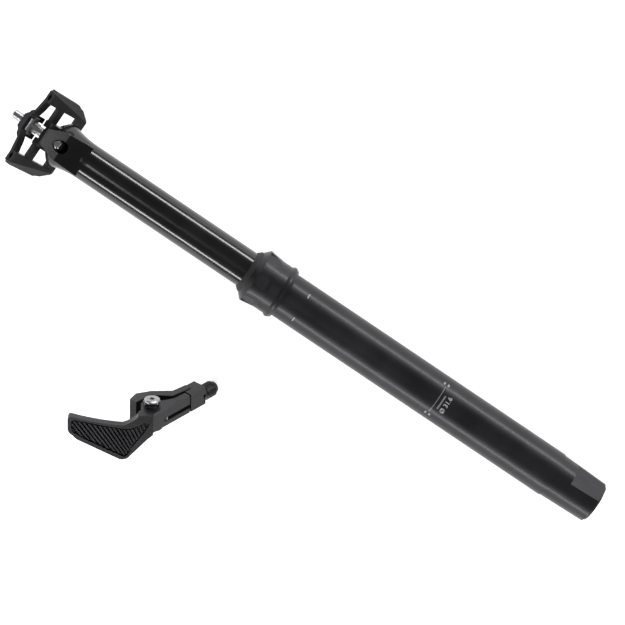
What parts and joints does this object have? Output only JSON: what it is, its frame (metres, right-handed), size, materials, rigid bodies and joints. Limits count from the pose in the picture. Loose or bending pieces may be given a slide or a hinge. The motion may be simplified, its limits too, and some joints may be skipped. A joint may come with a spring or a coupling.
{
  "type": "dropper seatpost",
  "caption": "Telescoping bicycle seatpost with a keyed sliding post, a base cap with a cable rocker and a tilting saddle clamp.",
  "frame": {"origin": "on the post's axis, in the plane where the collar flange rests on the seat tube", "axes": "+X along the post towards the saddle clamp, +Z the side with the clamp's tilt bolt, +Y across the post along the clamp's hinge"},
  "size_m": [0.4602, 0.1792, 0.053],
  "materials": {
    "satin_black": "satin",
    "gloss_black": "gloss",
    "black_rubber": "matte",
    "grey_polymer": "matte",
    "brass": "satin",
    "plain_alloy": "satin",
    "bright_steel": "satin"
  },
  "bodies": {
    "tube": {"outer_tube": "satin_black", "top_collar": "satin_black", "wiper_seal": "black_rubber", "collar_oring": "black_rubber", "upper_bushing": "grey_polymer", "cartridge_rod": "plain_alloy", "rod_nut": "bright_steel", "cartridge_piston": "grey_polymer", "base_housing": "satin_black", "base_oring": "black_rubber", "rocker_pin": "bright_steel", "cable_stop": "satin_black", "rocker_spring": "bright_steel", "remote_bracket": "satin_black", "pivot_bush": "grey_polymer", "pivot_washer": "gloss_black", "pivot_bolt": "bright_steel", "lever_spring": "bright_steel", "adjuster_ring": "satin_black"},
    "post": {"inner_post": "gloss_black", "lower_bushing": "grey_polymer", "guide_keys": "brass", "cartridge_cylinder": "plain_alloy", "cartridge_gland": "plain_alloy", "retaining_ring": "bright_steel"},
    "float": {"float_piston": "grey_polymer"},
    "rocker": {"cable_rocker": "plain_alloy", "cable_anchor": "brass"},
    "release": {"release_pin": "bright_steel"},
    "clamp": {"lower_cradle": "satin_black", "clamp_yoke": "satin_black", "rear_screw": "bright_steel"},
    "tilt_bolt": {"tilt_bolt": "bright_steel", "ball_washer": "bright_steel"},
    "tilt_nut": {"tilt_nut": "bright_steel"},
    "thumb_lever": {"thumb_lever": "satin_black", "cable_clamp": "bright_steel"},
    "adjuster": {"barrel_adjuster": "satin_black"}
  },
  "joints": [
    {"name": "post_slide", "type": "slide", "parent": "tube", "child": "post", "axis": [1, 0, 0], "range_m": [-0.125, 0], "stiffness_N_per_m": 250, "springref_m": 0.7},
    {"name": "float_piston_slide", "type": "slide", "parent": "post", "child": "float", "axis": [1, 0, 0], "range_m": [0, 0.032]},
    {"name": "rocker_turn", "type": "hinge", "parent": "tube", "child": "rocker", "pos_m": [-0.231, -0.00247, -0.00247], "axis": [0, 0.7071, -0.7071], "range_deg": [0, 20]},
    {"name": "release_pin_slide", "type": "slide", "parent": "tube", "child": "release", "axis": [1, 0, 0], "range_m": [0, 0.00157], "stiffness_N_per_m": 400, "springref_m": -0.004},
    {"name": "clamp_tilt", "type": "hinge", "parent": "post", "child": "clamp", "pos_m": [0.187, 0, 0], "axis": [0, 1, 0], "range_deg": [-36, 0]},
    {"name": "tilt_bolt_swing", "type": "hinge", "parent": "post", "child": "tilt_bolt", "pos_m": [0.18, 0, 0.0105], "axis": [0, 1, 0], "range_deg": [-18.9, 0]},
    {"name": "tilt_nut_turn", "type": "hinge", "parent": "clamp", "child": "tilt_nut", "pos_m": [0.19984, 0, 0.00309], "axis": [0, 1, 0], "range_deg": [0, 17.5]},
    {"name": "thumb_lever_turn", "type": "hinge", "parent": "tube", "child": "thumb_lever", "pos_m": [0.027, 0.114, 0.0176], "axis": [-0.5171, 0.7696, -0.3746], "range_deg": [0, 22], "stiffness_Nm_per_rad": 0.35, "springref_deg": -20.05},
    {"name": "adjuster_turn", "type": "hinge", "parent": "tube", "child": "adjuster", "pos_m": [0.00352, 0.08019, -0.01358], "axis": [-0.4133, -0.6078, -0.6781], "continuous": true}
  ],
  "couplings": [
    {"joint": "float_piston_slide", "follows": "post_slide", "ratio": -0.25},
    {"joint": "rocker_turn", "follows": "release_pin_slide", "rad_per_m": 200},
    {"joint": "tilt_bolt_swing", "follows": "clamp_tilt", "ratio": 0.522},
    {"joint": "tilt_nut_turn", "follows": "clamp_tilt", "ratio": -0.478}
  ]
}
